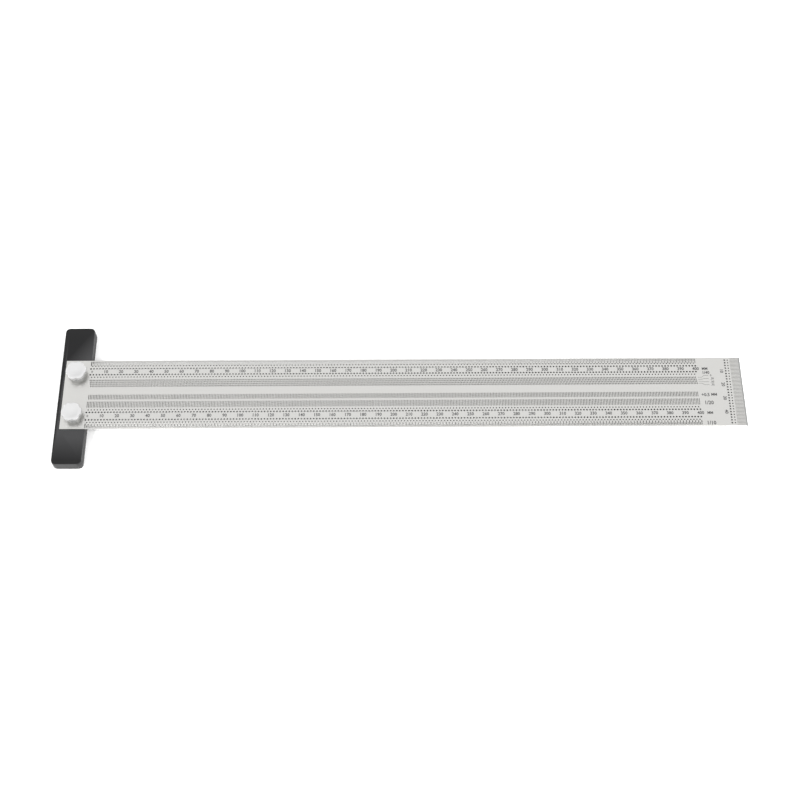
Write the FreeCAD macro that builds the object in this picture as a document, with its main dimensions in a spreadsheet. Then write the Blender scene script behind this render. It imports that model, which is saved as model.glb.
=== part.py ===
import FreeCAD, Part
import os
import Sketcher

# A marking T square: a thin perforated steel blade, a black aluminium head bar that hooks over the edge
# of the work, and two thumb screws that clamp the blade into a recess in the head.
#
# Frame, in millimetres: X = 0 is the head's inner face, where the scale reads zero, and +X runs along the
# blade. Y = 0 is the blade's centre line. Z = 0 is the blade's underside, which lies on the work.
DIMENSIONS = {
    "blade_length": 446.5,
    "blade_width": 50.0,
    "blade_thick": 1.0,
    "blade_overlap": 16.5,     # length of blade that lies in the head
    "head_width": 19.5,
    "head_length": 99.5,
    "head_thick": 8.0,
    "head_corner": 3.0,        # radius of the four upright corners
    "head_edge": 0.4,          # bevel round the top and the bottom
    "recess_gap": 0.05,        # play between the blade and its recess, each side
    "screw_inset": 8.4,        # from the inner face back to the screws
    "screw_spacing": 30.0,
    "screw_major": 4.0,        # M4, 0.7 pitch
    "tapped_play": 0.05,       # radial play of a screw in its tapped hole
    "blade_hole": 4.5,
    "screw_reach": 5.5,        # thread below the blade
    "screw_point": 0.5,        # bevel at the end of the thread
    "knob_across": 13.4,
    "knob_thick": 2.4,
    "knob_bevel": 0.7,
    "neck_across": 8.6,
    "neck_height": 3.2,
    "lobe_count": 6.0,
    "lobe_radius": 2.2,        # radius of each hollow in the knob's rim
    "lobe_depth": 0.6,
    "lobe_turn": 36.0,         # direction of the first hollow, in degrees from +X
    "washer_across": 9.4,
    "washer_hole": 4.3,
    "washer_thick": 0.5,
    "scale_length": 400.0,
    "slot_width": 0.5,
    "even_hole_across": 1.2,   # beside the numbers
    "odd_hole_across": 0.9,
    "half_offset": 0.5,        # the half millimetre row stands this far on
    "fine_step": 0.25,         # each fine row stands this much further on than the one before
    "end_slot_reach": 4.0,     # from the tip back to the middle of the end slots
    "end_slot_length": 5.2,
    "end_even_reach": 10.3,
    "end_odd_reach": 8.3,
}

# The rows of the scale. Each slot is (name, middle in Y, length) and each hole (name, middle in Y).
# The real blade repeats them at every millimetre. This solid carries every fifth one, at its true place.
EVEN_SLOTS = [("far_long", 22.65, 3.2), ("whole", -7.45, 4.5), ("near_long", -22.65, 3.2)]
EVEN_HOLES = [("far_outer_even", 18.9), ("far_inner_even", 14.5),
              ("near_inner_even", -13.1), ("near_outer_even", -18.5)]
ODD_SLOTS = [("far_short", 23.35, 1.8), ("whole", -7.45, 4.5), ("near_short", -23.35, 1.8)]
ODD_HOLES = [("far_outer_odd", 20.9), ("far_inner_odd", 12.7),
             ("near_inner_odd", -11.3), ("near_outer_odd", -20.4)]
FINE_ROWS = [("fine_one", 10.3), ("fine_two", 8.85), ("fine_three", 7.4), ("fine_four", 5.95)]
FINE_LENGTH = 1.1
HALF_ROW = ("half", -2.0, 3.6)
CAD_STEP = 5               # millimetres between the marks that this solid carries

doc = FreeCAD.newDocument("t_square")
sheet = doc.addObject("Spreadsheet::Sheet", "sheet")


def add_cell(row, alias, value):
    sheet.set(f"A{row}", alias)
    sheet.set(f"B{row}", str(value))
    sheet.setAlias(f"B{row}", alias)


def fill_sheet():
    cells = dict(DIMENSIONS)
    for name, middle, length in EVEN_SLOTS + ODD_SLOTS + [HALF_ROW]:
        cells[name + "_row"] = middle
        cells[name + "_length"] = length
    for name, middle in EVEN_HOLES + ODD_HOLES + FINE_ROWS:
        cells[name + "_row"] = middle
    cells["fine_length"] = FINE_LENGTH
    for row, (alias, value) in enumerate(cells.items(), start=1):
        add_cell(row, alias, value)
    doc.recompute()


def value(expression):
    """The number that an expression of the sheet's cells gives now."""
    result = sheet.evalExpression(expression)
    return float(getattr(result, "Value", result))


def origin_part(body, role):
    return next(item for item in body.Origin.OriginFeatures if item.Role == role)


def new_body(name):
    body = doc.addObject("PartDesign::Body", name)
    body.Label = name
    return body


def new_sketch(body, name, plane="XY_Plane", height="0"):
    """A sketch on one of the body's origin planes, lifted to an expression's height."""
    sketch = body.newObject("Sketcher::SketchObject", name)
    sketch.AttachmentSupport = [(origin_part(body, plane), "")]
    sketch.MapMode = "FlatFace"
    sketch.setExpression("AttachmentOffset.Base.z", height)
    return sketch


def bind(sketch, constraint, expression):
    """Add a dimension to a sketch and tie it to the sheet."""
    index = sketch.addConstraint(constraint)
    sketch.setExpression(f"Constraints[{index}]", expression)


def place_point(sketch, geometry, point, x_expression, y_expression):
    bind(sketch, Sketcher.Constraint("DistanceX", -1, 1, geometry, point, value(x_expression)), x_expression)
    bind(sketch, Sketcher.Constraint("DistanceY", -1, 1, geometry, point, value(y_expression)), y_expression)


def draw_rectangle(sketch, left, right, bottom, top):
    """A rectangle whose low and high corners are tied to expressions."""
    x_low, x_high, y_low, y_high = (value(side) for side in (left, right, bottom, top))
    corners = [(x_low, y_low), (x_high, y_low), (x_high, y_high), (x_low, y_high)]
    first = sketch.GeometryCount
    for index, corner in enumerate(corners):
        following = corners[(index + 1) % 4]
        line = Part.LineSegment(FreeCAD.Vector(*corner, 0), FreeCAD.Vector(*following, 0))
        sketch.addGeometry(line, False)
    for index in range(4):
        following = first + (index + 1) % 4
        sketch.addConstraint(Sketcher.Constraint("Coincident", first + index, 2, following, 1))
        direction = "Horizontal" if index % 2 == 0 else "Vertical"
        sketch.addConstraint(Sketcher.Constraint(direction, first + index))
    place_point(sketch, first, 1, left, bottom)
    place_point(sketch, first + 2, 1, right, top)


def draw_circle(sketch, x_middle, y_middle, diameter):
    circle = Part.Circle(FreeCAD.Vector(value(x_middle), value(y_middle), 0),
                         FreeCAD.Vector(0, 0, 1), value(diameter) / 2)
    index = sketch.addGeometry(circle, False)
    bind(sketch, Sketcher.Constraint("Diameter", index, value(diameter)), diameter)
    place_point(sketch, index, 3, x_middle, y_middle)


def draw_outline(sketch, points):
    """A closed polygon whose corners are pairs of expressions."""
    places = [FreeCAD.Vector(value(x), value(y), 0) for x, y in points]
    count = len(places)
    for index in range(count):
        sketch.addGeometry(Part.LineSegment(places[index], places[(index + 1) % count]), False)
    for index in range(count):
        sketch.addConstraint(Sketcher.Constraint("Coincident", index, 2, (index + 1) % count, 1))
    for index, (x, y) in enumerate(points):
        place_point(sketch, index, 1, x, y)


def pad(body, sketch, name, length):
    feature = body.newObject("PartDesign::Pad", name)
    feature.Profile = sketch
    feature.setExpression("Length", length)
    doc.recompute()
    return feature


def cut(body, sketch, name, length, low):
    """A pocket of an expression's depth, upwards where low is true. It must take material away."""
    before = body.Shape.Volume
    feature = body.newObject("PartDesign::Pocket", name)
    feature.Profile = sketch
    feature.Reversed = low
    feature.setExpression("Length", length)
    doc.recompute()
    if body.Shape.Volume >= before:
        raise RuntimeError(f"{name} cuts nothing")
    return feature


def edges_where(shape, wanted):
    return [f"Edge{number}" for number, edge in enumerate(shape.Edges, start=1) if wanted(edge.BoundBox)]


def screw_rows():
    """The two screws' places across the blade, as expressions: far, then near."""
    return [("far", "sheet.screw_spacing / 2"), ("near", "-sheet.screw_spacing / 2")]


def make_head():
    """A flat bar with rounded ends, a recess across its top for the blade, and two tapped holes."""
    body = new_body("head")
    outline = new_sketch(body, "head_outline", height="sheet.blade_thick - sheet.head_thick")
    draw_rectangle(outline, "-sheet.head_width", "0", "-sheet.head_length / 2", "sheet.head_length / 2")
    bar = pad(body, outline, "head_bar", "sheet.head_thick")

    corners = body.newObject("PartDesign::Fillet", "head_corners")
    upright = edges_where(bar.Shape, lambda box: box.ZLength > value("sheet.head_thick") - 0.01)
    corners.Base = (bar, upright)
    corners.setExpression("Radius", "sheet.head_corner")
    doc.recompute()

    bevel = body.newObject("PartDesign::Chamfer", "head_bevel")
    rims = edges_where(corners.Shape, lambda box: box.ZLength < 0.01)
    bevel.Base = (corners, rims)
    bevel.setExpression("Size", "sheet.head_edge")
    doc.recompute()

    recess = new_sketch(body, "recess_outline")
    draw_rectangle(recess, "-sheet.blade_overlap - sheet.recess_gap", "1",
                   "-sheet.blade_width / 2 - sheet.recess_gap", "sheet.blade_width / 2 + sheet.recess_gap")
    cut(body, recess, "blade_recess", "sheet.blade_thick * 2", low=True)

    holes = new_sketch(body, "tapped_hole_outline")
    for _, across in screw_rows():
        draw_circle(holes, "-sheet.screw_inset", across, "sheet.screw_major + 2 * sheet.tapped_play")
    cut(body, holes, "tapped_holes", "sheet.head_thick", low=False)
    return body


def slot_wire(x_middle, y_middle, length):
    """A slot that stands across the blade."""
    half_width = value("sheet.slot_width") / 2
    corners = [(x_middle + side * half_width, y_middle + end * length / 2)
               for side, end in ((-1, -1), (1, -1), (1, 1), (-1, 1), (-1, -1))]
    return Part.makePolygon([FreeCAD.Vector(x, y, 0) for x, y in corners])


def hole_wire(x_middle, y_middle, diameter):
    circle = Part.Circle(FreeCAD.Vector(x_middle, y_middle, 0), FreeCAD.Vector(0, 0, 1), diameter / 2)
    return Part.Wire([circle.toShape()])


def steps(first, last, step):
    """Evenly spaced places from first up to last."""
    return [first + index * step for index in range(int(round((last - first) / step)) + 1)]


def mark_wires(slots, holes, hole_across, places):
    """The slots and holes that stand at each of the scale's whole marks."""
    wires = []
    for place in places:
        wires += [slot_wire(place, value(f"sheet.{name}_row"), value(f"sheet.{name}_length"))
                  for name, _, _ in slots]
        wires += [hole_wire(place, value(f"sheet.{name}_row"), value(hole_across)) for name, _ in holes]
    return wires


def fraction_wires(places):
    """The four fine rows and the half millimetre row, which start just past each mark."""
    wires = []
    for place in places:
        for index, (name, _) in enumerate(FINE_ROWS, start=1):
            wires.append(slot_wire(place + index * value("sheet.fine_step"), value(f"sheet.{name}_row"),
                                   value("sheet.fine_length")))
        wires.append(slot_wire(place + value("sheet.half_offset"), value("sheet.half_row"),
                               value("sheet.half_length")))
    return wires


def end_scale_wires():
    """The scale across the tip, which reads the blade's width."""
    tip = value("sheet.blade_length - sheet.blade_overlap")
    half_width = value("sheet.blade_width") / 2
    half_length = value("sheet.end_slot_length") / 2
    half_slot = value("sheet.slot_width") / 2
    middle = tip - value("sheet.end_slot_reach")
    wires = []
    for y in steps(CAD_STEP - half_width, half_width - CAD_STEP, CAD_STEP):
        corners = [(middle - half_length, y - half_slot), (middle + half_length, y - half_slot),
                   (middle + half_length, y + half_slot), (middle - half_length, y + half_slot)]
        wires.append(Part.makePolygon([FreeCAD.Vector(*corner, 0) for corner in corners + corners[:1]]))
    for kind, first in (("even", 2 * CAD_STEP), ("odd", CAD_STEP)):
        for y in steps(first - half_width, half_width - first, 2 * CAD_STEP):
            reach = value(f"sheet.end_{kind}_reach")
            wires.append(hole_wire(tip - reach, y, value(f"sheet.{kind}_hole_across")))
    return wires


def make_blade():
    """A thin flat strip with marking slots and lead holes right through it."""
    left = value("-sheet.blade_overlap")
    right = value("sheet.blade_length - sheet.blade_overlap")
    half_width = value("sheet.blade_width / 2")
    corners = [(left, -half_width), (right, -half_width), (right, half_width), (left, half_width)]
    edge = Part.makePolygon([FreeCAD.Vector(*corner, 0) for corner in corners + corners[:1]])
    wires = [hole_wire(value("-sheet.screw_inset"), value(across), value("sheet.blade_hole"))
             for _, across in screw_rows()]
    end = value("sheet.scale_length")
    wires += mark_wires(EVEN_SLOTS, EVEN_HOLES, "sheet.even_hole_across", steps(0, end, 2 * CAD_STEP))
    wires += mark_wires(ODD_SLOTS, ODD_HOLES, "sheet.odd_hole_across",
                        steps(CAD_STEP, end - CAD_STEP, 2 * CAD_STEP))
    wires += fraction_wires(steps(0, end - CAD_STEP, CAD_STEP))
    wires += end_scale_wires()

    for wire in wires:
        wire.reverse()         # the edge of an opening runs the other way round from the outer edge

    face = doc.addObject("Part::Feature", "blade_face")
    face.Shape = Part.Face([edge] + wires)
    blade = doc.addObject("Part::Extrusion", "blade")
    blade.Label = "blade"
    blade.Base = face
    blade.Dir = FreeCAD.Vector(0, 0, 1)
    blade.DirMode = "Custom"
    blade.Solid = True
    blade.setExpression("LengthFwd", "sheet.blade_thick")
    doc.recompute()
    return blade


def make_washer(side, across):
    """A flat washer that keeps the turning screw off the blade."""
    body = new_body(f"{side}_washer")
    ring = new_sketch(body, f"{side}_washer_outline")
    draw_circle(ring, "0", "0", "sheet.washer_across")
    draw_circle(ring, "0", "0", "sheet.washer_hole")
    pad(body, ring, f"{side}_washer_ring", "sheet.washer_thick")
    body.setExpression("Placement.Base.x", "-sheet.screw_inset")
    body.setExpression("Placement.Base.y", across)
    body.setExpression("Placement.Base.z", "sheet.blade_thick")
    return body


def make_screw(side, across):
    """A thumb screw turned in one piece: thread, neck, and a knob with hollows round its rim."""
    body = new_body(f"{side}_thumb_screw")
    reach = "-(sheet.screw_reach + sheet.blade_thick + sheet.washer_thick)"
    top = "(sheet.neck_height + sheet.knob_thick)"
    profile = new_sketch(body, f"{side}_screw_profile", plane="XZ_Plane")
    draw_outline(profile, [
        ("0", reach),
        ("sheet.screw_major / 2 - sheet.screw_point", reach),
        ("sheet.screw_major / 2", f"{reach} + sheet.screw_point"),
        ("sheet.screw_major / 2", "0"),
        ("sheet.neck_across / 2", "0"),
        ("sheet.neck_across / 2", "sheet.neck_height"),
        ("sheet.knob_across / 2 - sheet.knob_bevel / 2", "sheet.neck_height"),
        ("sheet.knob_across / 2", "sheet.neck_height + sheet.knob_bevel / 2"),
        ("sheet.knob_across / 2", f"{top} - sheet.knob_bevel"),
        ("sheet.knob_across / 2 - sheet.knob_bevel", top),
        ("0", top),
    ])
    turned = body.newObject("PartDesign::Revolution", f"{side}_screw_turned")
    turned.Profile = profile
    turned.ReferenceAxis = (profile, ["V_Axis"])
    doc.recompute()

    hollow = new_sketch(body, f"{side}_hollow_outline", height="sheet.neck_height")
    draw_circle(hollow, "sheet.knob_across / 2 - sheet.lobe_depth + sheet.lobe_radius", "0",
                "2 * sheet.lobe_radius")
    scallop = cut(body, hollow, f"{side}_hollow", "sheet.knob_thick", low=True)
    rim = body.newObject("PartDesign::PolarPattern", f"{side}_hollows")
    rim.Originals = [scallop]
    rim.Axis = (origin_part(body, "Z_Axis"), [""])
    rim.setExpression("Occurrences", "sheet.lobe_count")
    body.Tip = rim

    body.Placement.Rotation = FreeCAD.Rotation(FreeCAD.Vector(0, 0, 1), value("sheet.lobe_turn"))
    body.setExpression("Placement.Base.x", "-sheet.screw_inset")
    body.setExpression("Placement.Base.y", across)
    body.setExpression("Placement.Base.z", "sheet.blade_thick + sheet.washer_thick")
    return body


def check(bodies):
    """Every object has recomputed and every body is a valid single solid."""
    doc.recompute()
    for item in doc.Objects:
        if {"Invalid", "Error"} & set(item.State):
            raise RuntimeError(f"{item.Name}: {item.State}")
    for body in bodies:
        shape = body.Shape
        if shape.isNull() or not shape.isValid() or len(shape.Solids) != 1:
            raise RuntimeError(f"{body.Label} is not one valid solid")


fill_sheet()
parts = [make_head(), make_blade()]
for side, across in screw_rows():
    parts.append(make_washer(side, across))
    parts.append(make_screw(side, across))
check(parts)

os.makedirs("parts", exist_ok=True)
for part in parts:
    part.Shape.exportStep(f"parts/{part.Label}.step")
    box = part.Shape.BoundBox
    print(f"{part.Label}: {box.XLength:.2f} x {box.YLength:.2f} x {box.ZLength:.2f} mm, "
          f"{part.Shape.Volume:.1f} mm3, {len(part.Shape.Faces)} faces")
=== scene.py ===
"""The looks of a marking T square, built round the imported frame.

It has a perforated steel blade with its inked scale, a black anodised head bar, and two lobed thumb
screws on washers. Sizes written times MM are in metres, as the frame is. Tables of places along
and across the blade hold plain millimetres."""

import math

import bmesh
import bpy
from mathutils import Matrix, Vector
from mathutils.geometry import delaunay_2d_cdt


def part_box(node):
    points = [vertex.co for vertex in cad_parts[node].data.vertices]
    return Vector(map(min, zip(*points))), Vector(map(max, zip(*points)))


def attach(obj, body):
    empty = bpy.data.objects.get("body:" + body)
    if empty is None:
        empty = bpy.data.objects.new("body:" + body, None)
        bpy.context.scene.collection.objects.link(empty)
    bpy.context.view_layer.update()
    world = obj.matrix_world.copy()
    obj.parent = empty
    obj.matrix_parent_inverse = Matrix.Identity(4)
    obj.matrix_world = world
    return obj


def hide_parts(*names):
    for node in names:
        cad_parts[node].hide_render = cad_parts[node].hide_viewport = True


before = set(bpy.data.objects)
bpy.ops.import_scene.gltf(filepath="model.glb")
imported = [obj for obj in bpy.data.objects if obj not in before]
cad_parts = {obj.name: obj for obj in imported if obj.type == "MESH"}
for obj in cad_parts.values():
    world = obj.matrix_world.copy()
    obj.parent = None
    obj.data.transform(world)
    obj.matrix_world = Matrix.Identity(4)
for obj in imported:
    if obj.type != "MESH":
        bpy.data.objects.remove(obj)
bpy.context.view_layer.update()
MM = 0.001


# ---------------------------------------------------------------- sizes, read from the frame

BLADE_LOW, BLADE_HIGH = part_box("blade")
HEAD_LOW, HEAD_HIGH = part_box("head")
BLADE_TOP = BLADE_HIGH.z
TIP = BLADE_HIGH.x
FAR_EDGE = BLADE_HIGH.y
SIDES = ("far", "near")           # the two screws' places across the blade


def screw_axis(side):
    """A point on a screw's axis, which is its washer's middle."""
    low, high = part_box(f"{side}_washer")
    return (low + high) / 2


# ---------------------------------------------------------------- small helpers

def new_object(name, mesh, body, slot, *nodes):
    """A piece of the tool, riding on a body and standing for its CAD nodes."""
    piece = bpy.data.objects.new(name, mesh)
    bpy.context.scene.collection.objects.link(piece)
    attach(piece, body)
    if nodes:
        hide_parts(*nodes)
    return piece


def mesh_from(name, vertices, faces):
    """A mesh of plain vertices and faces, with faulty ones removed."""
    mesh = bpy.data.meshes.new(name)
    mesh.from_pydata(vertices, [], faces)
    mesh.validate()
    mesh.update()
    return mesh


def band_faces(first, corners):
    """Faces between a ring of corners, numbered from the first, and the ring after it."""
    return [(first + i, first + (i + 1) % corners,
             first + corners + (i + 1) % corners, first + corners + i) for i in range(corners)]


def apply_modifiers(piece):
    """Leaves the modifiers' result as the piece's own mesh."""
    graph = bpy.context.evaluated_depsgraph_get()
    shaped = bpy.data.meshes.new_from_object(piece.evaluated_get(graph))
    piece.modifiers.clear()
    piece.data = shaped


def smooth_by_angle(mesh, degrees, largest_smooth=math.inf):
    """Smooth shading, with every edge sharper than the angle kept crisp.

    Faces larger than the given area stay flat."""
    work = bmesh.new()
    work.from_mesh(mesh)
    limit = math.radians(degrees)
    for face in work.faces:
        face.smooth = face.calc_area() < largest_smooth
    for edge in work.edges:
        edge.smooth = edge.is_manifold and edge.calc_face_angle(math.pi) < limit
    work.to_mesh(mesh)
    work.free()


INSIDE_OUTER_LOOP = 1             # the triangulation's choice of what to keep
SAME_POINT = 1e-7                 # points nearer than this count as one
NO_SOURCE_NUMBERS = False


def extrude_outline(loops, low, high, crease):
    """A closed solid between two heights, and the number of the loop that each of its walls is on.

    The first loop is its edge. The others are convex openings in it, apart from each other, so a
    triangle whose corners all lie on one of them fills it and is left out. The walls are the last
    faces. The crease is an edge across the solid between two points of the first loop."""
    points = []
    edges = [crease]
    owner = []
    for number, loop in enumerate(loops):
        first = len(points)
        points += [Vector(point) for point in loop]
        count = len(loop)
        edges += [(first + i, first + (i + 1) % count) for i in range(count)]
        owner += [number] * count
    places, _, triangles, _, _, _ = delaunay_2d_cdt(
        points, edges, [], INSIDE_OUTER_LOOP, SAME_POINT, NO_SOURCE_NUMBERS)
    count = len(places)
    if count != len(points):
        raise RuntimeError("openings touch or cross")
    vertices = [(p.x, p.y, low) for p in places] + [(p.x, p.y, high) for p in places]
    faces = []
    rim = {}
    for triangle in triangles:
        a, b, c = triangle
        if owner[a] and owner[a] == owner[b] == owner[c]:
            continue
        turn = (places[b] - places[a]).cross(places[c] - places[a])
        if turn < 0:
            a, b, c = a, c, b
        faces.append((a + count, b + count, c + count))
        faces.append((c, b, a))
        for edge in ((a, b), (b, c), (c, a)):
            rim[edge] = rim.get(edge, 0) + 1
    walls = [edge for edge in rim if edge[::-1] not in rim]
    faces += [(a, b, b + count, a + count) for a, b in walls]
    return vertices, faces, [owner[a] for a, _ in walls]


# ---------------------------------------------------------------- the blade

FINE_SLOT_WIDTH = 0.5 * MM
EDGE_SLOT_WIDTH = 0.6 * MM
MIDDLE_SLOT_WIDTH = 0.4 * MM
END_SLOT_WIDTH = 0.25 * MM
SLOT_END_BOW = 0.6                # depth of a slot's rounded end, in half widths
SLOT_END_FLAT = 0.45              # half the flat middle of that end, in half widths
HOLE_RADIUS = (0.6 * MM, 0.45 * MM)  # at even marks, at odd marks
HOLE_CORNERS = 10
SCREW_HOLE_RADIUS = 2.25 * MM
SCREW_HOLE_CORNERS = 32
MARKS = 400                       # the scale's length, in marks a millimetre apart
END_MARKS = 50                    # the tip's scale reads across the blade

# Places across the blade are distances in from its far edge. They and every size below that isn't
# written times MM are in millimetres.
SLOT_ROWS = {                     # name: (first mark, every, along, middle, length)
    "far_long": (0, 2, 0, 2.35, 3.2),
    "far_short": (1, 2, 0, 1.65, 1.8),
    "half": (0, 1, 0.5, 27.0, 3.6),
    "whole": (0, 1, 0, 32.45, 4.5),
    "near_long": (0, 2, 0, 47.65, 3.2),
    "near_short": (1, 2, 0, 48.35, 1.8),
}
HOLE_ROWS = {                     # name: (first mark, middle)
    "far_outer_odd": (1, 4.1), "far_outer_even": (0, 6.1),
    "far_inner_even": (0, 10.5), "far_inner_odd": (1, 12.3),
    "near_inner_odd": (1, 36.3), "near_inner_even": (0, 38.1),
    "near_outer_even": (0, 43.5), "near_outer_odd": (1, 45.4),
}
FINE_ROWS = (14.7, 16.15, 17.6, 19.05)
FINE_LENGTH = 1.1
FINE_STEP = 0.25
END_HOLES = ((0, 10.3), (1, 8.3))  # (number of the HOLE_RADIUS, distance in from the tip)
END_HOLES_FROM = 2                # both of those rows have a hole at each even mark from this one
END_SLOT = (4.2, 5.6)             # (middle, in from the tip; length)
TIP_BEVEL = 1.3 * MM              # the upper face slopes down over this much of the tip
TIP_DROP = 0.75 * MM
TIP_SIDE_OF_CREASE = 0.1 * MM     # points this far past the bevel's start belong to the tip


def across(distance):
    """The place that many millimetres in from the blade's far edge."""
    return FAR_EDGE - distance * MM


def rounded_slot(x, y, length, width, turned=False):
    """A slot with rounded ends, across the blade, or along it if turned."""
    reach = length / 2
    side = width / 2
    bow = side * SLOT_END_BOW
    flat = side * SLOT_END_FLAT
    outline = [(-side, -reach + bow), (-flat, -reach), (flat, -reach), (side, -reach + bow),
               (side, reach - bow), (flat, reach), (-flat, reach), (-side, reach - bow)]
    if turned:
        outline = [(-v, u) for u, v in outline]
    return [(x + u, y + v) for u, v in outline]


def rectangle(low_x, high_x, low_y, high_y):
    return [(low_x, low_y), (high_x, low_y), (high_x, high_y), (low_x, high_y)]


def short_slot(x, y, length, width):
    side = width / 2
    reach = length / 2
    return rectangle(x - side, x + side, y - reach, y + reach)


def round_hole(x, y, radius, corners=HOLE_CORNERS):
    turn = 2 * math.pi / corners
    return [(x + radius * math.cos(i * turn), y + radius * math.sin(i * turn))
            for i in range(corners)]


def slot_openings():
    openings = []
    for first, every, along, middle, length in SLOT_ROWS.values():
        last = MARKS if along == 0 else MARKS - 1
        width = EDGE_SLOT_WIDTH if every > 1 else MIDDLE_SLOT_WIDTH
        for mark in range(first, last + 1, every):
            openings.append(rounded_slot((mark + along) * MM, across(middle), length * MM, width))
    for mark in range(MARKS):
        for step, middle in enumerate(FINE_ROWS, start=1):
            along = mark + step * FINE_STEP
            openings.append(short_slot(along * MM, across(middle), FINE_LENGTH * MM,
                                       FINE_SLOT_WIDTH))
    inset, length = END_SLOT
    for mark in range(1, END_MARKS):
        openings.append(rounded_slot(TIP - inset * MM, across(mark), length * MM, END_SLOT_WIDTH,
                                     turned=True))
    return openings


def hole_openings():
    openings = []
    for first, middle in HOLE_ROWS.values():
        for mark in range(first, MARKS + 1, 2):
            openings.append(round_hole(mark * MM, across(middle), HOLE_RADIUS[first]))
    for size, inset in END_HOLES:
        for mark in range(END_HOLES_FROM, END_MARKS, 2):
            openings.append(round_hole(TIP - inset * MM, across(mark), HOLE_RADIUS[size]))
    return openings


def make_blade():
    """The perforated strip, with painted shade in its round holes and on the bevel at its tip."""
    near_edge = BLADE_LOW.y
    bevel_start = TIP - TIP_BEVEL
    edge = [(BLADE_LOW.x, near_edge), (bevel_start, near_edge), (TIP, near_edge), (TIP, FAR_EDGE),
            (bevel_start, FAR_EDGE), (BLADE_LOW.x, FAR_EDGE)]
    screw_holes = [round_hole(screw_axis(side).x, screw_axis(side).y, SCREW_HOLE_RADIUS,
                              SCREW_HOLE_CORNERS) for side in SIDES]
    loops = [edge] + screw_holes + slot_openings()
    first_hole = len(loops)
    loops += hole_openings()
    across_bevel_start = (1, 4)   # the numbers of that edge's two points in the outline
    vertices, faces, wall_loops = extrude_outline(loops, BLADE_LOW.z, BLADE_TOP,
                                                  crease=across_bevel_start)
    tip_side = bevel_start + TIP_SIDE_OF_CREASE
    vertices = [(x, y, z - TIP_DROP) if x > tip_side and z == BLADE_TOP else (x, y, z)
                for x, y, z in vertices]
    mesh = mesh_from("blade_steel_strip", vertices, faces)
    new_object("blade_strip", mesh, "square", "blade_steel", "blade")
    mesh.materials.append(blade_steel())
    mesh.materials.append(burnt_wall())
    mesh.materials.append(ground_steel())
    hole_wall_shade, tip_shade = 1, 2
    first_wall = len(faces) - len(wall_loops)
    # The round holes' walls get the near-black material: painted shade inside the holes.
    for face, number in zip(mesh.polygons[first_wall:], wall_loops):
        if number >= first_hole:
            face.material_index = hole_wall_shade
    # Upward faces past the bevel's start get the darker steel: painted shade on the tip's slope.
    for face in mesh.polygons:
        faces_up = face.normal.z > 0.5
        if faces_up and face.center.x > bevel_start:
            face.material_index = tip_shade


# ---------------------------------------------------------------- the blade's inked scale

FIGURE_STEP = 10                  # marks from one number to the next
FIGURE_HEIGHT = 2.2 * MM
FIGURE_NARROW = 0.95
FIGURE_THICKEN = 0.04             # how far strokes are widened, as a share of the height
FONT_HEIGHT = 0.72                # a figure's height, as a share of its font size
INK_HALF_THICK = 0.01 * MM
FIGURE_ROWS = (8.3, 40.7)
ZERO_ALONG = 0.9                  # the zeros stand a little past their mark and are smaller
ZERO_SIZE = 0.7
END_FIGURE_INSET = 13.1
LABELS = (                        # (words, start along the blade, middle across it, height)
    ("MM", 404.0, 8.3, 1.9), ("1/40", 403.9, 11.2, 2.1), ("+0.5", 401.8, 27.6, 2.3),
    ("MM", 408.2, 27.4, 1.9), ("1/20", 403.2, 33.4, 2.6), ("MM", 404.2, 40.7, 1.9),
    ("1/10", 403.2, 48.0, 2.6),
)
LEADERS = (                       # (row it starts from, row of its label, label)
    (14.7, 13.3, "0"), (16.15, 15.6, ".25"), (17.6, 18.0, ".50"), (19.05, 20.2, ".75"),
)
LEADER_BENDS = (400.9, 403.2, 404.9, 407.9)
LEADER_WIDTH = 0.2 * MM
LEADER_LABEL = (409.0, 1.4)       # (start along the blade, height)
SAME_CORNER = 1e-8                # corners of figures nearer than this are merged


def lettering(words, place, height, centred=False, turned=False):
    """Figures as thin solid ink on the blade's upper face."""
    curve = bpy.data.curves.new("lettering", "FONT")
    curve.body = words
    curve.size = height / FONT_HEIGHT
    curve.resolution_u = 2
    curve.offset = FIGURE_THICKEN * height
    curve.align_x = "CENTER" if centred else "LEFT"
    curve.align_y = "CENTER"
    curve.extrude = INK_HALF_THICK
    text = bpy.data.objects.new("lettering", curve)
    bpy.context.scene.collection.objects.link(text)
    bpy.context.view_layer.update()
    mesh = bpy.data.meshes.new_from_object(text)
    turn = Matrix.Rotation(-math.pi / 2, 4, "Z") if turned else Matrix.Identity(4)
    narrow = Matrix.Diagonal((FIGURE_NARROW, 1, 1, 1))
    mesh.transform(Matrix.Translation(place) @ turn @ narrow)
    bpy.data.objects.remove(text)
    bpy.data.curves.remove(curve)
    return mesh


def ink_place(along, inward):
    """A point on the blade's upper face, from millimetres along it and in from its far edge."""
    return Vector((along * MM, across(inward), BLADE_TOP + INK_HALF_THICK / 2))


def ribbon(points, width):
    """A thin strip of ink along a bent line, as vertices and faces."""
    vertices = []
    count = len(points)
    for index, point in enumerate(points):
        before = points[max(index - 1, 0)]
        after = points[min(index + 1, count - 1)]
        way = (after - before).normalized()
        side = Vector((-way.y, way.x, 0)) * width / 2
        for height in (-INK_HALF_THICK, INK_HALF_THICK):
            lift = Vector((0, 0, height))
            vertices += [point - side + lift, point + side + lift]
    faces = []
    for index in range(count - 1):
        a = index * 4
        b = a + 4
        faces += [(a, a + 1, b + 1, b), (a + 2, b + 2, b + 3, a + 3), (a, b, b + 2, a + 2),
                  (a + 1, a + 3, b + 3, b + 1)]
    last = (count - 1) * 4
    faces += [(0, 2, 3, 1), (last, last + 1, last + 3, last + 2)]
    return vertices, faces


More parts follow.
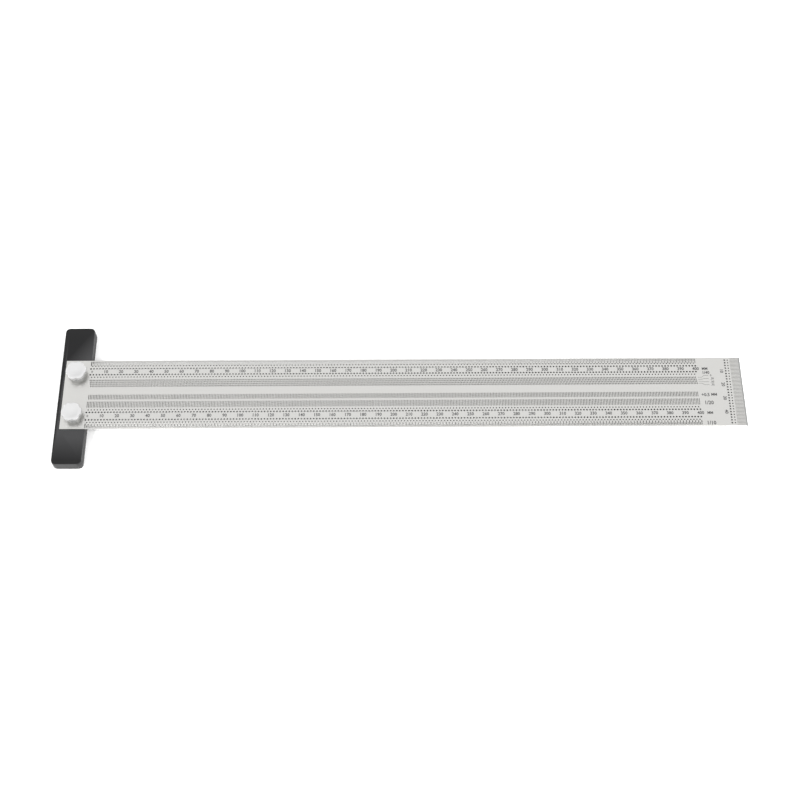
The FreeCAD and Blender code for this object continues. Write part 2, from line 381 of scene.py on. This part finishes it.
def make_figures():
    """All numbers, unit labels and leader lines of the scale, as one piece."""
    parts = []
    for inward in FIGURE_ROWS:
        for number in range(FIGURE_STEP, MARKS + 1, FIGURE_STEP):
            place = ink_place(number, inward)
            parts.append(lettering(str(number), place, FIGURE_HEIGHT, centred=True))
        place = ink_place(ZERO_ALONG, inward)
        parts.append(lettering("0", place, FIGURE_HEIGHT * ZERO_SIZE, centred=True))
    for words, along, inward, height in LABELS:
        parts.append(lettering(words, ink_place(along, inward), height * MM))
    label_start, label_height = LEADER_LABEL
    for start, finish, words in LEADERS:
        rows = (start, start, finish, finish)
        line = [ink_place(along, inward) for along, inward in zip(LEADER_BENDS, rows)]
        parts.append(mesh_from("leader", *ribbon(line, LEADER_WIDTH)))
        parts.append(lettering(words, ink_place(label_start, finish), label_height * MM))
    for number in range(FIGURE_STEP, END_MARKS, FIGURE_STEP):
        place = ink_place(TIP / MM - END_FIGURE_INSET, number)
        parts.append(lettering(str(number), place, FIGURE_HEIGHT, centred=True, turned=True))
    work = bmesh.new()
    for part in parts:
        work.from_mesh(part)
    bmesh.ops.remove_doubles(work, verts=work.verts, dist=SAME_CORNER)
    mesh = bpy.data.meshes.new("scale_figures")
    work.to_mesh(mesh)
    work.free()
    return new_object("blade_figures", mesh, "square", "scale_ink")


# ---------------------------------------------------------------- the head

HEAD_CORNER = 3.0 * MM
HEAD_CORNER_STEPS = 8
HEAD_EDGE = 0.4 * MM              # size of the bevel on the head's edges
HEAD_EDGE_ANGLE = 50              # edges sharper than this many degrees get it
RECESS_GAP = 0.05 * MM
TAPPED_RADIUS = 2.05 * MM
TAP_CORNERS = 48
COUNTERSINK = 0.45 * MM
COUNTERSINK_OVERSHOOT = 0.2 * MM  # cutters reach past the faces that they cut by these
CUT_OVERSHOOT = 1 * MM
HEAD_LARGEST_SMOOTH = 15 * MM ** 2


def rounded_rectangle(low, high, radius, steps):
    """An outline with round corners of so many steps each."""
    points = []
    corners = ((high.x - radius, high.y - radius, 0), (low.x + radius, high.y - radius, 1),
               (low.x + radius, low.y + radius, 2), (high.x - radius, low.y + radius, 3))
    for x, y, quarter in corners:
        for step in range(steps + 1):
            turn = (quarter + step / steps) * math.pi / 2
            points.append((x + radius * math.cos(turn), y + radius * math.sin(turn)))
    return points


def prism(name, outline, low, high):
    """An upright solid with flat ends."""
    count = len(outline)
    vertices = [(x, y, low) for x, y in outline] + [(x, y, high) for x, y in outline]
    faces = [tuple(range(count))[::-1], tuple(range(count, 2 * count))]
    faces += band_faces(0, count)
    return mesh_from(name, vertices, faces)


def countersunk_cutter(name, place, radius, low, high):
    """A round cutter that opens out at its low end."""
    rings = ((radius + COUNTERSINK + COUNTERSINK_OVERSHOOT, low - COUNTERSINK_OVERSHOOT),
             (radius, low + COUNTERSINK), (radius, high))
    corners = TAP_CORNERS
    vertices = []
    for ring, height in rings:
        vertices += [(place.x + u, place.y + v, height)
                     for u, v in round_hole(0, 0, ring, corners)]
    faces = [tuple(range(corners))[::-1], tuple(range(2 * corners, 3 * corners))]
    faces += band_faces(0, corners) + band_faces(corners, corners)
    return mesh_from(name, vertices, faces)


def subtract(piece, cutter_mesh):
    """Cuts one mesh out of a piece."""
    cutter = bpy.data.objects.new("cutter", cutter_mesh)
    bpy.context.scene.collection.objects.link(cutter)
    cut = piece.modifiers.new("cut", "BOOLEAN")
    cut.operation = "DIFFERENCE"
    cut.solver = "EXACT"
    cut.object = cutter
    bpy.context.view_layer.update()
    apply_modifiers(piece)
    bpy.data.objects.remove(cutter)


def make_head():
    """The bar, with the blade's recess across its top and a tapped hole for each screw."""
    outline = rounded_rectangle(HEAD_LOW, HEAD_HIGH, HEAD_CORNER, HEAD_CORNER_STEPS)
    mesh = prism("head_bar", outline, HEAD_LOW.z, HEAD_HIGH.z)
    piece = new_object("head_bar", mesh, "square", "head_black", "head")
    recess = rectangle(BLADE_LOW.x - RECESS_GAP, HEAD_HIGH.x + CUT_OVERSHOOT,
                       BLADE_LOW.y - RECESS_GAP, BLADE_HIGH.y + RECESS_GAP)
    subtract(piece, prism("recess", recess, BLADE_LOW.z, HEAD_HIGH.z + CUT_OVERSHOOT))
    for side in SIDES:
        subtract(piece, countersunk_cutter("tap", screw_axis(side), TAPPED_RADIUS, HEAD_LOW.z,
                                           BLADE_LOW.z + CUT_OVERSHOOT))
    edges = piece.modifiers.new("edges", "BEVEL")
    edges.width = HEAD_EDGE
    edges.segments = 3
    edges.limit_method = "ANGLE"
    edges.angle_limit = math.radians(HEAD_EDGE_ANGLE)
    edges.miter_outer = "MITER_ARC"
    edges.use_clamp_overlap = True
    bpy.context.view_layer.update()
    apply_modifiers(piece)
    smooth_by_angle(piece.data, degrees=35, largest_smooth=HEAD_LARGEST_SMOOTH)
    return piece


# ---------------------------------------------------------------- washers and thumb screws

RING_CORNERS = 192
THREAD_PITCH = 0.7 * MM
THREAD_MAJOR = 2.0 * MM           # radius of its crests
THREAD_MINOR = 1.6 * MM           # radius of its roots
THREAD_POINT = 0.5 * MM           # the end tapers over this height
THREAD_RUN_OUT = 0.5 * MM         # the grooves fade over this height below the neck
THREAD_FLAT = 0.12                # share of each flank taken by the flat of a root or a crest
THREAD_STEPS = 14                 # rings per turn
NECK_RADIUS = 4.3 * MM
NECK_HEIGHT = 3.2 * MM
NECK_EDGE = 0.2 * MM              # rounding at the neck's foot
NECK_FILLET = 0.25 * MM           # rounding where it meets the knob
KNOB_RADIUS = 6.7 * MM
KNOB_BEVEL = 0.7 * MM
LOBES = 6
LOBE_RADIUS = 2.2 * MM
LOBE_DEPTH = 0.6 * MM
LOBE_TURN = math.radians(36)      # direction of the first hollow
LOBE_SOFTNESS = 0.25 * MM         # rounding where a hollow meets the rim
LOBE_SOFT_REACH = 30              # past this many of those, the rounding no longer counts
DISH = (                          # (radius, depth) of the hollow in the knob's top
    (4.4 * MM, 0), (4.2 * MM, 0.12 * MM), (0.4 * MM, 0.12 * MM), (0.1 * MM, 0.2 * MM),
)
WASHER_HOLE = 2.15 * MM
WASHER_EDGE = 0.08 * MM
WASHER_CORNERS = 96


def ring_stack(name, rings, close_ends=True):
    """A solid skinned over rings of equally many points, from the first to the last."""
    corners = len(rings[0])
    vertices = [point for ring in rings for point in ring]
    last = len(vertices) - corners
    faces = []
    for index in range(len(rings) - 1):
        faces += band_faces(index * corners, corners)
    if close_ends:
        faces.append(tuple(range(corners))[::-1])
        faces.append(tuple(range(last, len(vertices))))
    else:
        faces += [(last + i, last + (i + 1) % corners, (i + 1) % corners, i)
                  for i in range(corners)]
    return mesh_from(name, vertices, faces)


def ring_at(centre, height, reach, corners=RING_CORNERS):
    """A ring of points round a centre. Its distance from there depends on the direction."""
    ring = []
    for index in range(corners):
        turn = 2 * math.pi * index / corners
        away = reach(turn)
        ring.append((centre.x + away * math.cos(turn), centre.y + away * math.sin(turn), height))
    return ring


def circle_ring(centre, radius, height, corners=RING_CORNERS):
    return ring_at(centre, height, lambda turn: radius, corners)


def knob_reach(turn, radius):
    """How far the knob's rim is from its axis in one direction, when inset to a radius."""
    inset = KNOB_RADIUS - radius
    hollow = LOBE_RADIUS + inset
    centre = KNOB_RADIUS - LOBE_DEPTH + LOBE_RADIUS
    sector = 2 * math.pi / LOBES
    offset = (turn - LOBE_TURN + sector / 2) % sector - sector / 2
    miss = centre * math.sin(abs(offset))
    if miss >= hollow:
        return radius
    near_side = centre * math.cos(offset) - math.sqrt(hollow ** 2 - miss ** 2)
    gap = (radius - near_side) / LOBE_SOFTNESS
    if gap > LOBE_SOFT_REACH:
        return near_side
    return radius - LOBE_SOFTNESS * math.log1p(math.exp(gap))


def knob_ring(centre, radius, height):
    return ring_at(centre, height, lambda turn: knob_reach(turn, radius))


def thread_ring(centre, height, low, high):
    """A ring of the screw thread, which tapers at its point and fades out below the neck."""
    fade = min(max((high - height) / THREAD_RUN_OUT, 0), 1)
    point = max(THREAD_POINT - (height - low), 0)

    def reach(turn):
        phase = ((height - low) / THREAD_PITCH - turn / (2 * math.pi)) % 1
        flank = 1 - abs(2 * phase - 1)
        crest = min(max((flank - THREAD_FLAT) / (1 - 2 * THREAD_FLAT), 0), 1)
        depth = (THREAD_MAJOR - THREAD_MINOR) * (1 - crest)
        return min(THREAD_MAJOR - depth * fade, THREAD_MAJOR - point)

    return ring_at(centre, height, reach)


def rounded_foot(radius, height, size, steps):
    """(radius, height) pairs round a quarter circle, from a face at a height up to a wall."""
    turns = [step / steps * math.pi / 2 for step in range(steps + 1)]
    return [(radius - size + size * math.sin(turn), height + size - size * math.cos(turn))
            for turn in turns]


def rounded_rim(radius, height, size, steps):
    """(radius, height) pairs round a quarter circle, from a wall up to a face at a height."""
    turns = [step / steps * math.pi / 2 for step in range(steps + 1)]
    return [(radius - size + size * math.cos(turn), height - size + size * math.sin(turn))
            for turn in turns]


def make_screw(side):
    """One turned piece: thread, neck and lobed knob."""
    centre = screw_axis(side)
    low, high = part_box(f"{side}_thumb_screw")
    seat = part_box(f"{side}_washer")[1].z
    knob_low = seat + NECK_HEIGHT
    turns = (seat - low.z) / THREAD_PITCH
    rings = [thread_ring(centre, low.z + index * THREAD_PITCH / THREAD_STEPS, low.z, seat)
             for index in range(int(turns * THREAD_STEPS) + 1)]
    rings.append(circle_ring(centre, THREAD_MAJOR, seat))
    for radius, height in rounded_foot(NECK_RADIUS, seat, NECK_EDGE, steps=4):
        rings.append(circle_ring(centre, radius, height))
    fillet_steps = 4
    for step in range(fillet_steps + 1):
        turn = step / fillet_steps * math.pi / 2
        radius = NECK_RADIUS + NECK_FILLET * (1 - math.cos(turn))
        rings.append(circle_ring(centre, radius, knob_low - NECK_FILLET * (1 - math.sin(turn))))
    for radius, height in rounded_foot(KNOB_RADIUS, knob_low, KNOB_BEVEL / 2, steps=5):
        rings.append(knob_ring(centre, radius, height))
    for radius, height in rounded_rim(KNOB_RADIUS, high.z, KNOB_BEVEL, steps=7):
        rings.append(knob_ring(centre, radius, height))
    for radius, depth in DISH:
        rings.append(circle_ring(centre, radius, high.z - depth))
    mesh = ring_stack(f"{side}_screw", rings)
    smooth_by_angle(mesh, degrees=32)
    return new_object(f"{side}_lobed_screw", mesh, f"{side}_screw", "screw_silver",
                      f"{side}_thumb_screw")


def make_washer(side):
    """A flat washer with lightly broken edges."""
    centre = screw_axis(side)
    low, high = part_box(f"{side}_washer")
    outer = (high.x - low.x) / 2
    profile = [(WASHER_HOLE, low.z + WASHER_EDGE), (WASHER_HOLE + WASHER_EDGE, low.z),
               (outer - WASHER_EDGE, low.z), (outer, low.z + WASHER_EDGE),
               (outer, high.z - WASHER_EDGE), (outer - WASHER_EDGE, high.z),
               (WASHER_HOLE + WASHER_EDGE, high.z), (WASHER_HOLE, high.z - WASHER_EDGE)]
    rings = [circle_ring(centre, radius, height, WASHER_CORNERS) for radius, height in profile]
    mesh = ring_stack(f"{side}_ring", rings, close_ends=False)
    smooth_by_angle(mesh, degrees=40)
    return new_object(f"{side}_flat_washer", mesh, f"{side}_washer_lift", "washer_steel",
                      f"{side}_washer")


# ---------------------------------------------------------------- materials

class Shader:
    """A material's node tree, with short calls to add and join nodes."""

    def __init__(self, name):
        self.material = bpy.data.materials.new(name)
        self.material.use_nodes = True
        self.tree = self.material.node_tree
        self.tree.nodes.clear()
        self.surface = self.add("ShaderNodeBsdfPrincipled")
        output = self.add("ShaderNodeOutputMaterial")
        self.join(self.surface, "BSDF", output, "Surface")

    def add(self, kind, **settings):
        node = self.tree.nodes.new(kind)
        for key, value in settings.items():
            setattr(node, key, value)
        return node

    def join(self, source, out, target, into):
        self.tree.links.new(source.outputs[out], target.inputs[into])

    def set(self, **values):
        """Fixed values of the surface's inputs, with _ for a space in a name."""
        for key, value in values.items():
            self.surface.inputs[key.replace("_", " ")].default_value = value

    def place(self, scale, shift=(0, 0, 0)):
        """A point of the piece in metres, scaled unevenly to stretch a pattern."""
        where = self.add("ShaderNodeTexCoord")
        mapping = self.add("ShaderNodeMapping")
        mapping.inputs["Scale"].default_value = scale
        mapping.inputs["Location"].default_value = shift
        self.join(where, "Object", mapping, "Vector")
        return mapping

    def noise(self, place, detail, roughness=0.5):
        """Noise whose size comes from its place's scale alone."""
        node = self.add("ShaderNodeTexNoise")
        node.inputs["Scale"].default_value = 1.0
        node.inputs["Detail"].default_value = detail
        node.inputs["Roughness"].default_value = roughness
        self.join(place, "Vector", node, "Vector")
        return node

    def spread(self, source, out, low, high, start=0.3, finish=0.7):
        """A value from 0 to 1 spread over a range."""
        node = self.add("ShaderNodeMapRange")
        node.inputs["From Min"].default_value = start
        node.inputs["From Max"].default_value = finish
        node.inputs["To Min"].default_value = low
        node.inputs["To Max"].default_value = high
        self.join(source, out, node, "Value")
        return node

    def shades(self, source, out, dark, light):
        """A colour between two, by a value from 0 to 1."""
        node = self.add("ShaderNodeMix", data_type="RGBA")
        node.inputs["A"].default_value = (*dark, 1)
        node.inputs["B"].default_value = (*light, 1)
        self.join(source, out, node, "Factor")
        return node

    def bump(self, source, out, distance, strength):
        node = self.add("ShaderNodeBump")
        node.inputs["Distance"].default_value = distance
        node.inputs["Strength"].default_value = strength
        self.join(source, out, node, "Height")
        self.join(node, "Normal", self.surface, "Normal")

    def colour(self, source, out, dark, light):
        """Makes the surface's colour vary between two."""
        self.join(self.shades(source, out, dark, light), "Result", self.surface, "Base Color")

    def roughness(self, source, out, low, high):
        """Makes the surface's roughness vary over a range."""
        self.join(self.spread(source, out, low, high), "Result", self.surface, "Roughness")


def blade_steel():
    """Stainless strip, brushed along its length, with faint handling marks."""
    steel = Shader("blade_steel")
    steel.set(Metallic=1.0, Anisotropic=0.6)
    grain = steel.noise(steel.place((60, 9000, 9000)), detail=4)
    marks = steel.noise(steel.place((25, 60, 60)), detail=5, roughness=0.6)
    steel.colour(grain, "Fac", (0.68, 0.675, 0.655), (0.76, 0.755, 0.735))
    steel.roughness(marks, "Fac", 0.27, 0.35)
    tangent = steel.add("ShaderNodeCombineXYZ")
    tangent.inputs["Y"].default_value = 1.0
    steel.join(tangent, "Vector", steel.surface, "Tangent")
    steel.bump(grain, "Fac", 0.000004, 0.6)
    return steel.material


def ground_steel():
    """The tip's sloping bevel: painted darker as shade, rougher, with fine lines across the blade.
    """
    steel = Shader("ground_steel")
    steel.set(Metallic=1.0)
    lines = steel.noise(steel.place((9000, 60, 9000)), detail=4)
    # These colours, far below the brushed blade's, are painted shade on the slope.
    steel.colour(lines, "Fac", (0.41, 0.41, 0.405), (0.48, 0.48, 0.475))
    steel.roughness(lines, "Fac", 0.35, 0.45)
    steel.bump(lines, "Fac", 0.000004, 0.6)
    return steel.material


def burnt_wall():
    """Painted shade: near-black matt walls for the small round holes, standing in for the dark
    inside them.
    """
    wall = Shader("burnt_wall")
    wall.set(Metallic=0.0)
    wall_mottle = wall.noise(wall.place((3000, 3000, 3000)), detail=3)
    # The near-black colours are painted shade; the noise only makes them uneven.
    wall.colour(wall_mottle, "Fac", (0.010, 0.009, 0.008), (0.035, 0.032, 0.03))
    wall.roughness(wall_mottle, "Fac", 0.6, 0.85)
    wall.bump(wall_mottle, "Fac", 0.00002, 0.5)
    return wall.material


def scale_ink():
    """Dark fill of the etched figures, slightly uneven."""
    ink = Shader("scale_ink")
    patches = ink.noise(ink.place((900, 900, 900)), detail=3)
    ink.colour(patches, "Fac", (0.03, 0.03, 0.032), (0.08, 0.08, 0.08))
    ink.roughness(patches, "Fac", 0.5, 0.75)
    ink.bump(patches, "Fac", 0.00001, 0.3)
    return ink.material


def black_anodised():
    """Fine matt blasted aluminium, dyed black, a little worn where edges meet."""
    black = Shader("black_anodised")
    black.set(Metallic=0.0, IOR=1.38)
    grit = black.noise(black.place((5200, 5200, 5200)), detail=3, roughness=0.6)
    drift = black.noise(black.place((45, 45, 45)), detail=4)
    worn = black.add("ShaderNodeNewGeometry")
    edge = black.spread(worn, "Pointiness", 0.0, 1.0, 0.52, 0.62)
    base = black.shades(drift, "Fac", (0.0025, 0.0025, 0.0028), (0.0050, 0.0050, 0.0054))
    colour = black.add("ShaderNodeMix", data_type="RGBA")
    colour.inputs["B"].default_value = (0.03, 0.03, 0.031, 1)
    black.join(edge, "Result", colour, "Factor")
    black.join(base, "Result", colour, "A")
    black.join(colour, "Result", black.surface, "Base Color")
    black.roughness(drift, "Fac", 0.40, 0.50)
    black.bump(grit, "Fac", 0.000012, 0.5)
    return black.material


def turned_metal(name, centre, dark, light, roughness):
    """Metal turned on a lathe: fine rings about an upright axis."""
    metal = Shader(name)
    metal.set(Metallic=1.0, Anisotropic=0.3)
    place = metal.place((1, 1, 1), (-centre.x, -centre.y, 0))
    rings = metal.add("ShaderNodeTexWave", wave_type="RINGS", rings_direction="Z",
                      wave_profile="SIN")
    rings.inputs["Scale"].default_value = 2200
    rings.inputs["Distortion"].default_value = 0.6
    rings.inputs["Detail"].default_value = 3
    rings.inputs["Detail Scale"].default_value = 2
    metal.join(place, "Vector", rings, "Vector")
    cloud = metal.noise(metal.place((260, 260, 260)), detail=4)
    metal.colour(cloud, "Fac", dark, light)
    metal.roughness(cloud, "Fac", roughness - 0.04, roughness + 0.05)
    metal.bump(rings, "Fac", 0.000006, 0.35)
    return metal.material


def give(piece, material):
    piece.data.materials.clear()
    piece.data.materials.append(material)


# ---------------------------------------------------------------- the tool

SILVER = ((0.82, 0.82, 0.82), (0.88, 0.88, 0.88), 0.38)   # (dark, light, roughness)
ZINC = ((0.60, 0.61, 0.62), (0.72, 0.73, 0.74), 0.26)

make_blade()
give(make_figures(), scale_ink())
give(make_head(), black_anodised())
for side in SIDES:
    axis = screw_axis(side)
    give(make_screw(side), turned_metal(f"{side}_screw_silver", axis, *SILVER))
    give(make_washer(side), turned_metal(f"{side}_washer_zinc", axis, *ZINC))


# ---------------------------------------------------------------- floor, light and camera

FLOOR_REACH = 4.0                 # half the side of the floor, in metres
FLOOR_GAP = 0.01 * MM
ROOM_AT_HORIZON = 0.6             # strength of the white room's light
ROOM_OVERHEAD = 1.0
OVERHEAD_FROM = 0.75              # the upward part of a direction from which that is reached
KEY_PLACES = {"right_key": (2.1, -1.1, 2.0), "left_key": (-1.7, -1.1, 2.0)}  # in metres
KEY_AIM = (0.2, 0.0, 0.0)
KEY_SIZE = 1.2
KEY_POWER = 80
CAMERA_AIM = Vector((204.15, -5.26, 1.0)) * MM
CAMERA_DISTANCE = 880.9 * MM
CAMERA_AZIMUTH = math.radians(-0.631)
CAMERA_ELEVATION = math.radians(63.453)
CAMERA_ROLL = math.radians(0.261)
CAMERA_LENS = 60.61
CAMERA_SENSOR = 36.0
CAMERA_NEAREST = 0.01


def make_floor():
    """A pale floor that the head's inner lower edge and the blade's tip both touch."""
    rise = BLADE_LOW.z - HEAD_LOW.z
    heel = -HEAD_EDGE
    slope = math.atan2(rise, TIP - heel)
    mesh = bpy.data.meshes.new("floor")
    work = bmesh.new()
    bmesh.ops.create_grid(work, x_segments=8, y_segments=8, size=FLOOR_REACH)
    work.to_mesh(mesh)
    work.free()
    floor = bpy.data.objects.new("floor", mesh)
    bpy.context.scene.collection.objects.link(floor)
    turn = Matrix.Rotation(-slope, 4, "Y")
    floor.matrix_world = Matrix.Translation((heel, 0, HEAD_LOW.z - FLOOR_GAP)) @ turn
    paper = Shader("floor_paper")
    paper.set(Roughness=0.85)
    tone = paper.noise(paper.place((6, 6, 6)), detail=2)
    paper.colour(tone, "Fac", (0.90, 0.90, 0.90), (0.93, 0.93, 0.93))
    give(floor, paper.material)


def make_key(name, place):
    """A soft round light that mirror reflections leave out."""
    lamp = bpy.data.lights.new(name, "AREA")
    lamp.shape = "DISK"
    lamp.size = KEY_SIZE
    lamp.energy = KEY_POWER
    light = bpy.data.objects.new(name, lamp)
    bpy.context.scene.collection.objects.link(light)
    light.location = place
    light.visible_glossy = False
    light.rotation_mode = "QUATERNION"
    light.rotation_quaternion = (Vector(KEY_AIM) - Vector(place)).to_track_quat("-Z", "Y")


def make_world():
    """A white room, darker at its horizon than overhead."""
    world = bpy.data.worlds.new("studio")
    world.use_nodes = True
    tree = world.node_tree
    where = tree.nodes.new("ShaderNodeTexCoord")
    parts = tree.nodes.new("ShaderNodeSeparateXYZ")
    ramp = tree.nodes.new("ShaderNodeMapRange")
    ramp.interpolation_type = "SMOOTHSTEP"
    ramp.inputs["From Min"].default_value = 0.0
    ramp.inputs["From Max"].default_value = OVERHEAD_FROM
    ramp.inputs["To Min"].default_value = ROOM_AT_HORIZON
    ramp.inputs["To Max"].default_value = ROOM_OVERHEAD
    tree.links.new(where.outputs["Generated"], parts.inputs["Vector"])
    tree.links.new(parts.outputs["Z"], ramp.inputs["Value"])
    back = tree.nodes["Background"]
    back.inputs["Color"].default_value = (1.0, 1.0, 1.0, 1)
    tree.links.new(ramp.outputs["Result"], back.inputs["Strength"])
    bpy.context.scene.world = world


def make_camera():
    """A view from above the near side, over the middle of the blade."""
    level = math.cos(CAMERA_ELEVATION)
    back = Vector((math.sin(CAMERA_AZIMUTH) * level, -math.cos(CAMERA_AZIMUTH) * level,
                   math.sin(CAMERA_ELEVATION)))
    right = (-back).cross(Vector((0, 0, 1))).normalized()
    up = right.cross(-back)
    rolled_right = math.cos(CAMERA_ROLL) * right + math.sin(CAMERA_ROLL) * up
    rolled_up = math.cos(CAMERA_ROLL) * up - math.sin(CAMERA_ROLL) * right
    lens = bpy.data.cameras.new("camera")
    lens.lens = CAMERA_LENS
    lens.sensor_width = CAMERA_SENSOR
    lens.clip_start = CAMERA_NEAREST
    camera = bpy.data.objects.new("camera", lens)
    bpy.context.scene.collection.objects.link(camera)
    axes = Matrix((rolled_right, rolled_up, back)).transposed().to_4x4()
    camera.matrix_world = Matrix.Translation(CAMERA_AIM + back * CAMERA_DISTANCE) @ axes
    bpy.context.scene.camera = camera


make_floor()
make_world()
for name, place in KEY_PLACES.items():
    make_key(name, place)
make_camera()
bpy.context.scene.view_settings.view_transform = "Standard"
